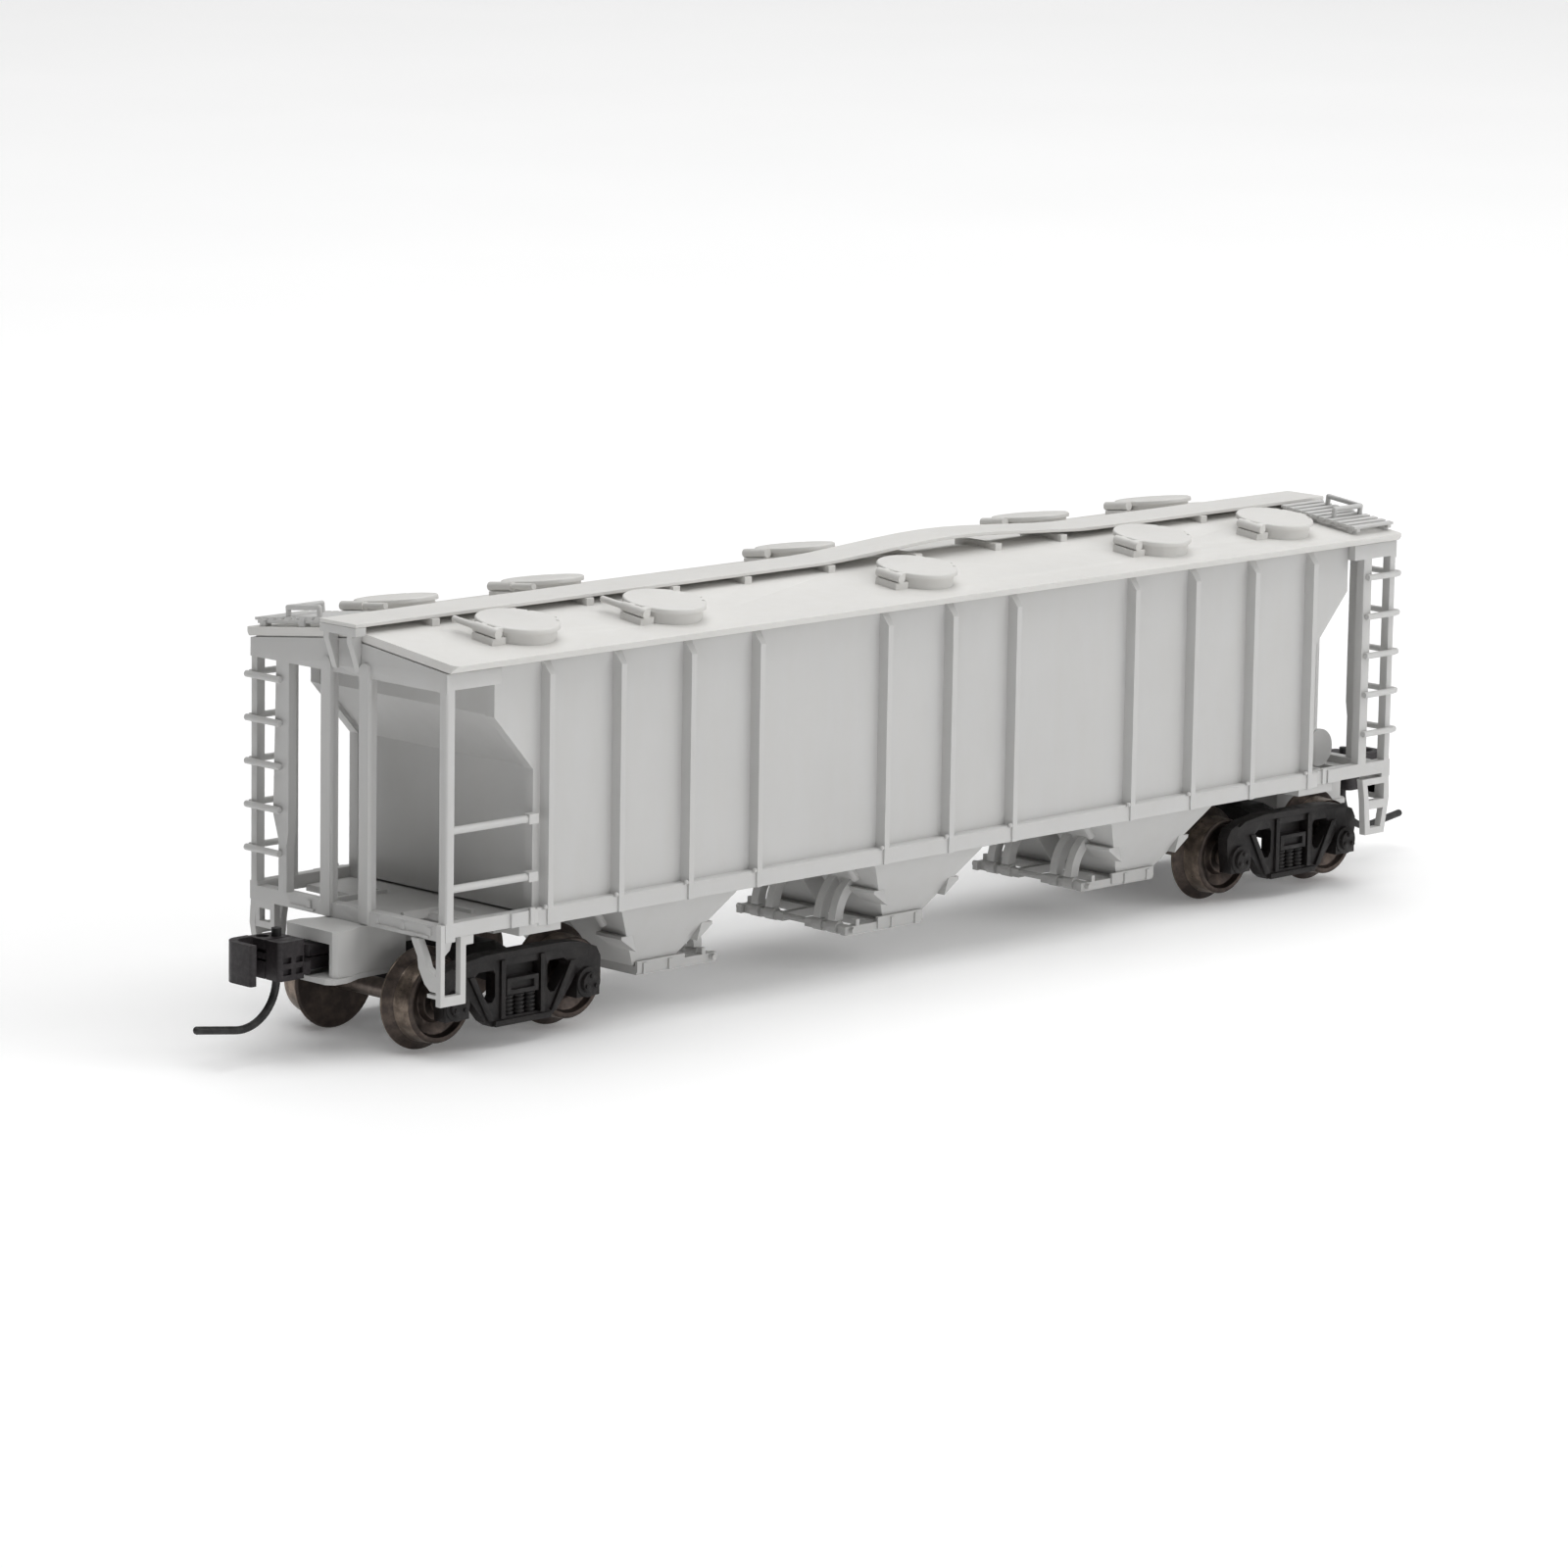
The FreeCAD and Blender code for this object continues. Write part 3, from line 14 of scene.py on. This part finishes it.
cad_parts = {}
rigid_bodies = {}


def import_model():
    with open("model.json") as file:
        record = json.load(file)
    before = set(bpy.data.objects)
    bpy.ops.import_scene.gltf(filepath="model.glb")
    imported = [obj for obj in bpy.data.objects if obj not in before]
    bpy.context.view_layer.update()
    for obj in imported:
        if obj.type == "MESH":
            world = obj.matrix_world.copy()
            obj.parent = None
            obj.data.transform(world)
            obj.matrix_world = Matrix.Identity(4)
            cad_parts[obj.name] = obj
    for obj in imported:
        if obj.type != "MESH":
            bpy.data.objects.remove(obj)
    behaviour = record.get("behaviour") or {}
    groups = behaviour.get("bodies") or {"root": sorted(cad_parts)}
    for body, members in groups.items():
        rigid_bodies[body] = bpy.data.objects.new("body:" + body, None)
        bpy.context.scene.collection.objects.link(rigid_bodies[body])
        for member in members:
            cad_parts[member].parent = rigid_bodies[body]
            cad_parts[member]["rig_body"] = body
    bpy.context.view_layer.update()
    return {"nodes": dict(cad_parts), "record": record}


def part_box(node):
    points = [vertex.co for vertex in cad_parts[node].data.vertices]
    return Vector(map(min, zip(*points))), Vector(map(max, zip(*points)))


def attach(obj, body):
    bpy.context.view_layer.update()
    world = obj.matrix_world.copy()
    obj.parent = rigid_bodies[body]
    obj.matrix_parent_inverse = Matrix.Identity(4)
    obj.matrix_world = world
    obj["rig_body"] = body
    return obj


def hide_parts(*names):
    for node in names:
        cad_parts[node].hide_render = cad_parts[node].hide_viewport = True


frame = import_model()

MM = 0.001
SCENE = bpy.context.scene
NOISE_LOW, NOISE_HIGH = 0.3, 0.7    # a noise seldom leaves this range

# Millimetres, as the part is built.
EASE = {
    "paint": 0.05,
    "roof": 0.06,
    "truck": 0.05,
    "coupler": 0.07,
    "wheel": 0.05,
    "steel": 0.04,
    "axle": 0.03,
}
EASE_SEGMENTS = 2
WELD = 0.002            # vertices nearer than this are one
TREAD_INNER_R = 2.4     # tread faces lie outside this radius
RIB_PITCH = 5.93        # between neighbouring ribs
WIDE_BAY = 11.33        # the bay on each side of the three middle ribs
OUTER_RIBS = 4          # ribs beyond each wide bay
NUB_R = 0.15
NUB_FROM_RIB = 0.36     # from the rib's middle toward the left, seen from outside
NUB_Y = 9.02
NUB_Z = 8.83

# Metres.
FLOOR_HALF = 3.0
LIT_POINT = (0.0, 0.0, 0.01)


# ---- node helpers ---------------------------------------------------------------------------
class Shader:
    """A thin wrapper that adds and links nodes of one material."""

    def __init__(self, name):
        self.material = bpy.data.materials.new(name)
        self.material.use_nodes = True
        self.tree = self.material.node_tree
        self.bsdf = self.tree.nodes["Principled BSDF"]
        self.place = self.add("ShaderNodeTexCoord").outputs["Object"]

    def add(self, kind, **values):
        node = self.tree.nodes.new(kind)
        for key, value in values.items():
            setattr(node, key, value)
        return node

    def link(self, a, b):
        self.tree.links.new(a, b)

    def stretched(self, x, y, z):
        """Object coordinates scaled along each axis, for grain that runs one way."""
        mapping = self.add("ShaderNodeMapping")
        mapping.inputs["Scale"].default_value = (x, y, z)
        self.link(self.place, mapping.inputs["Vector"])
        return mapping.outputs["Vector"]

    def noise(self, size_mm, detail=3.0, roughness=0.55, vector=None):
        """Noise whose features are about size_mm across, from 0 to 1."""
        node = self.add("ShaderNodeTexNoise")
        node.inputs["Scale"].default_value = 1.0 / (size_mm * MM)
        node.inputs["Detail"].default_value = detail
        node.inputs["Roughness"].default_value = roughness
        self.link(vector or self.place, node.inputs["Vector"])
        return node.outputs["Fac"]

    def ramp(self, factor, stops):
        """Colour ramp through (position, colour) stops."""
        node = self.add("ShaderNodeValToRGB")
        elements = node.color_ramp.elements
        while len(elements) < len(stops):
            elements.new(0.5)
        for element, (position, colour) in zip(elements, stops):
            element.position = position
            element.color = (*colour, 1.0)
        self.link(factor, node.inputs["Fac"])
        return node.outputs["Color"]

    def scalar(self, factor, low, high):
        """Maps the middle of a noise to a range of values, for roughness."""
        node = self.add("ShaderNodeMapRange")
        node.inputs["From Min"].default_value = NOISE_LOW
        node.inputs["From Max"].default_value = NOISE_HIGH
        node.inputs["To Min"].default_value = low
        node.inputs["To Max"].default_value = high
        self.link(factor, node.inputs["Value"])
        return node.outputs["Result"]

    def mix(self, share, a, b):
        """Colour a with this share of colour b."""
        node = self.add("ShaderNodeMix", data_type="RGBA", blend_type="MIX")
        node.inputs["Factor"].default_value = share
        self.link(a, node.inputs["A"])
        self.link(b, node.inputs["B"])
        return node.outputs["Result"]

    def bump(self, heights, depth_mm):
        """Adds the noises up as one bump of about depth_mm."""
        total = heights[0]
        for height in heights[1:]:
            add = self.add("ShaderNodeMath", operation="ADD")
            self.link(total, add.inputs[0])
            self.link(height, add.inputs[1])
            total = add.outputs[0]
        node = self.add("ShaderNodeBump")
        node.inputs["Strength"].default_value = 1.0
        node.inputs["Distance"].default_value = depth_mm * MM
        self.link(total, node.inputs["Height"])
        self.link(node.outputs["Normal"], self.bsdf.inputs["Normal"])


def painted(name, colour, roughness=0.42, grain_mm=0.16, depth_mm=0.004, spread=0.035):
    """Satin paint over moulded styrene: faint cloudiness, dust in streaks, a fine pebbled coat."""
    s = Shader(name)
    darker = [c * (1 - spread) for c in colour]
    lighter = [min(1.0, c * (1 + spread)) for c in colour]
    warm = [colour[0] * 0.965, colour[1] * 0.955, colour[2] * 0.93]
    cloud = s.ramp(s.noise(9.0, detail=4), [(0.3, darker), (0.7, lighter)])
    streak = s.noise(1.1, detail=5, vector=s.stretched(1.0, 1.0, 0.22))
    dusty = s.ramp(streak, [(0.35, colour), (0.75, warm)])
    s.link(s.mix(0.4, cloud, dusty), s.bsdf.inputs["Base Color"])
    s.link(s.scalar(s.noise(0.9), roughness - 0.05, roughness + 0.07), s.bsdf.inputs["Roughness"])
    s.bump([s.noise(grain_mm, detail=2), s.noise(grain_mm * 5, detail=2)], depth_mm)
    s.bsdf.inputs["Specular IOR Level"].default_value = 0.42
    return s.material


def moulded_black(name, colour, brown, roughness=0.46):
    """Black engineering plastic with slight bloom, brownish dust and fine texture."""
    s = Shader(name)
    bloom = s.ramp(s.noise(1.6, detail=6), [(0.35, colour), (0.72, brown)])
    dark_speck = [c * 0.8 for c in colour]
    pale_speck = [c * 1.9 for c in brown]
    specks = s.ramp(s.noise(0.22, detail=2), [(0.45, dark_speck), (0.8, pale_speck)])
    s.link(s.mix(0.3, bloom, specks), s.bsdf.inputs["Base Color"])
    s.link(s.scalar(s.noise(0.7, detail=4), roughness - 0.1, roughness + 0.12), s.bsdf.inputs["Roughness"])
    s.bump([s.noise(0.12, detail=2), s.noise(0.5, detail=3)], 0.006)
    s.bsdf.inputs["Specular IOR Level"].default_value = 0.3
    return s.material


def blackened_metal(name, dark, bright, roughness, metallic=0.85):
    """Chemically blackened brass, rubbed through in places."""
    s = Shader(name)
    worn = s.noise(0.8, detail=6, roughness=0.65)
    s.link(s.ramp(worn, [(0.42, dark), (0.72, bright)]), s.bsdf.inputs["Base Color"])
    s.link(s.scalar(s.noise(0.3, detail=4), roughness - 0.08, roughness + 0.12), s.bsdf.inputs["Roughness"])
    s.bump([s.noise(0.1, detail=2), s.noise(0.4, detail=2)], 0.003)
    s.bsdf.inputs["Metallic"].default_value = metallic
    return s.material


BODY_GREY = (0.565, 0.563, 0.556)
ROOF_GREY = (0.700, 0.692, 0.672)
BODY = painted("body_paint", BODY_GREY)
ROOF = painted("roof_paint", ROOF_GREY, roughness=0.5)
DETAIL = painted("detail_paint", (0.585, 0.583, 0.575), grain_mm=0.12)
UNDER = painted("underframe_paint", (0.53, 0.528, 0.52), roughness=0.5)
BLACK = moulded_black("truck_plastic", (0.008, 0.007, 0.0072), (0.018, 0.015, 0.0142))
COUPLER = moulded_black("coupler_plastic", (0.020, 0.0175, 0.019), (0.036, 0.031, 0.033), roughness=0.4)
WHEEL = blackened_metal("wheel_metal", (0.060, 0.048, 0.043), (0.125, 0.098, 0.082), 0.42)
TREAD = blackened_metal("tread_metal", (0.15, 0.120, 0.098), (0.34, 0.275, 0.225), 0.33, metallic=1.0)
AXLE = blackened_metal("axle_metal", (0.16, 0.135, 0.118), (0.30, 0.25, 0.22), 0.38)
WIRE = blackened_metal("wire_metal", (0.016, 0.016, 0.016), (0.045, 0.044, 0.043), 0.45, metallic=0.3)
STEEL = blackened_metal("bare_steel", (0.30, 0.29, 0.28), (0.50, 0.49, 0.47), 0.32, metallic=1.0)


# ---- mesh helpers ---------------------------------------------------------------------------
def body_of_node(node):
    return frame["nodes"][node]["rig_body"]


def slot_of_node(node):
    for part in frame["record"]["subparts"]:
        if part["node"] == node:
            return part["material_slot"]
    return node


def eased(node, material, width_mm, sharp_deg=32, flat_deg=1.0):
    """A copy of a CAD node with its sharp edges rounded, standing for that node."""
    source = frame["nodes"][node]
    mesh = source.data.copy()
    mesh.materials.clear()
    mesh.materials.append(material)
    piece = bpy.data.objects.new(node + "_shape", mesh)
    SCENE.collection.objects.link(piece)
    bm = bmesh.new()
    bm.from_mesh(mesh)
    bmesh.ops.remove_doubles(bm, verts=bm.verts, dist=WELD * MM)
    if flat_deg:
        bmesh.ops.dissolve_limit(bm, angle_limit=math.radians(flat_deg), verts=bm.verts, edges=bm.edges)
    for face in bm.faces:
        face.smooth = True
        face.material_index = 0
    bm.to_mesh(mesh)
    bm.free()
    if width_mm:
        bevel = piece.modifiers.new("ease", "BEVEL")
        bevel.width = width_mm * MM
        bevel.segments = EASE_SEGMENTS
        bevel.limit_method = "ANGLE"
        bevel.angle_limit = math.radians(sharp_deg)
        bevel.use_clamp_overlap = True
        bevel.harden_normals = True
        bevel.miter_outer = "MITER_ARC"
    mesh.set_sharp_from_angle(angle=math.radians(sharp_deg))
    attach(piece, body_of_node(node))
    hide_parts(node)
    return piece


def piece_from(name, bm, material, node):
    """Turns a bmesh in millimetres into a piece that rides with a CAD node and wears the given material."""
    bmesh.ops.scale(bm, vec=(MM, MM, MM), verts=bm.verts)
    bmesh.ops.recalc_face_normals(bm, faces=bm.faces)
    mesh = bpy.data.meshes.new(name)
    for face in bm.faces:
        face.smooth = True
    bm.to_mesh(mesh)
    bm.free()
    mesh.materials.append(material)
    mesh.set_sharp_from_angle(angle=math.radians(35))
    piece = bpy.data.objects.new(name, mesh)
    SCENE.collection.objects.link(piece)
    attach(piece, body_of_node(node))
    return piece


# ---- carried-over nodes -----------------------------------------------------------------------
PAINT = {
    "body_plastic": (BODY, EASE["paint"]),
    "roof_plastic": (ROOF, EASE["roof"]),
    "detail_plastic": (DETAIL, EASE["paint"]),
}
# The windows of these nodes need their flat faces left in triangles.
PIERCED_NODES = ("end_frame_a", "end_frame_b", "truck_frame_a", "truck_frame_b")
UNDER_NODES = ("underframe", "outlet_gate_1", "outlet_gate_2", "outlet_gate_3", "draft_box_covers")


def dress_mouldings():
    """Every painted, black or steel node but the wheelsets and trip pins."""
    for node in sorted(frame["nodes"]):
        slot = slot_of_node(node)
        flat = None if node in PIERCED_NODES else 1.0
        if slot in PAINT:
            material, width = PAINT[slot]
            if node in UNDER_NODES:
                material = UNDER
            eased(node, material, width, flat_deg=flat)
        elif slot == "truck_plastic":
            eased(node, BLACK, EASE["truck"], flat_deg=flat)
        elif slot == "coupler_plastic":
            eased(node, COUPLER, EASE["coupler"])
        elif slot == "steel":
            eased(node, STEEL, EASE["steel"])


def dress_wheelsets():
    """Wheels are brighter on their treads; axles are browned steel and trip pins dark wire."""
    for end in "ab":
        for number in "12":
            name = "wheels_%s%s" % (end, number)
            wheels = eased(name, WHEEL, EASE["wheel"], sharp_deg=28)
            low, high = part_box(name)
            centre = (low + high) / 2
            wheels.data.materials.append(TREAD)
            for face in wheels.data.polygons:
                away = face.center - centre
                radius = math.hypot(away.x, away.z)
                if abs(face.normal.y) < 0.5 and radius > TREAD_INNER_R * MM:
                    face.material_index = 1
            eased("axle_%s%s" % (end, number), AXLE, EASE["axle"])
        eased("trip_pin_" + end, WIRE, 0.0)


def rib_places():
    half = [RIB_PITCH] + [RIB_PITCH + WIDE_BAY + n * RIB_PITCH for n in range(OUTER_RIBS)]
    return [-x for x in reversed(half)] + [0.0] + half


def rib_nubs():
    """A round pip beside the foot of each side rib, on the ledge's edge."""
    bm = bmesh.new()
    for x in rib_places():
        for side in (-1, 1):
            place = Matrix.Translation((-side * (x - NUB_FROM_RIB), side * NUB_Y, NUB_Z))
            bmesh.ops.create_uvsphere(bm, u_segments=16, v_segments=10, radius=NUB_R, matrix=place)
    piece_from("rib_nubs", bm, BODY, "body_shell")


dress_mouldings()
dress_wheelsets()
rib_nubs()


# ---- floor, light and camera ----------------------------------------------------------------
def floor():
    mesh = bpy.data.meshes.new("floor")
    half = FLOOR_HALF
    mesh.from_pydata([(-half, -half, 0), (half, -half, 0), (half, half, 0), (-half, half, 0)], [],
                     [(0, 1, 2, 3)])
    s = Shader("floor_white")
    s.link(s.ramp(s.noise(60.0), [(0.3, (0.93, 0.93, 0.93)), (0.7, (0.95, 0.95, 0.95))]),
           s.bsdf.inputs["Base Color"])
    s.bsdf.inputs["Roughness"].default_value = 0.9
    s.bsdf.inputs["Specular IOR Level"].default_value = 0.1
    s.bsdf.inputs["Emission Color"].default_value = (1.0, 1.0, 1.0, 1.0)
    s.bsdf.inputs["Emission Strength"].default_value = 0.12
    mesh.materials.append(s.material)
    plane = bpy.data.objects.new("floor", mesh)
    SCENE.collection.objects.link(plane)


def area_light(name, place, size, power, aim=LIT_POINT):
    """A square lamp, its size in metres and its power in watts."""
    light = bpy.data.lights.new(name, "AREA")
    light.shape = "SQUARE"
    light.size = size
    light.energy = power
    lamp = bpy.data.objects.new(name, light)
    lamp.location = place
    lamp.rotation_euler = (Vector(aim) - Vector(place)).to_track_quat("-Z", "Y").to_euler()
    SCENE.collection.objects.link(lamp)


def studio():
    world = bpy.data.worlds.new("studio")
    world.use_nodes = True
    world.node_tree.nodes["Background"].inputs["Color"].default_value = (1.0, 1.0, 1.0, 1.0)
    world.node_tree.nodes["Background"].inputs["Strength"].default_value = 0.03
    SCENE.world = world
    area_light("overhead", (0.0, 0.0, 0.9), 1.2, 9.2)
    area_light("right", (0.6, -0.6, 0.5), 0.6, 3.0)
    area_light("left", (-0.75, -0.35, 0.35), 0.5, 0.3)
    area_light("front", (0.1, -0.9, 0.16), 0.5, 1.5)
    area_light("backdrop", (1.0, 1.0, 0.9), 1.2, 7.0, aim=(1.0, 1.0, 0.0))


def camera():
    """Long lens at the front corner, looking slightly down, with a small tilt of the horizon."""
    azimuth, elevation, roll = math.radians(-44.91), math.radians(10.46), math.radians(0.94)
    distance, target = 0.4377, Vector((-0.00618, 0.0, 0.01166))
    back = Vector((math.sin(azimuth) * math.cos(elevation), -math.cos(azimuth) * math.cos(elevation),
                   math.sin(elevation)))
    right = Vector((0, 0, 1)).cross(back).normalized()
    up = back.cross(right)
    tilt_right = right * math.cos(roll) + up * math.sin(roll)
    tilt_up = up * math.cos(roll) - right * math.sin(roll)
    data = bpy.data.cameras.new("camera")
    data.sensor_width = 36.0
    data.lens = 156.06
    data.clip_start = 0.01
    cam = bpy.data.objects.new("camera", data)
    turn = Matrix((tilt_right, tilt_up, back)).transposed().to_4x4()
    cam.matrix_world = Matrix.Translation(target + back * distance) @ turn
    SCENE.collection.objects.link(cam)
    SCENE.camera = cam


floor()
studio()
camera()
SCENE.view_settings.view_transform = "Standard"
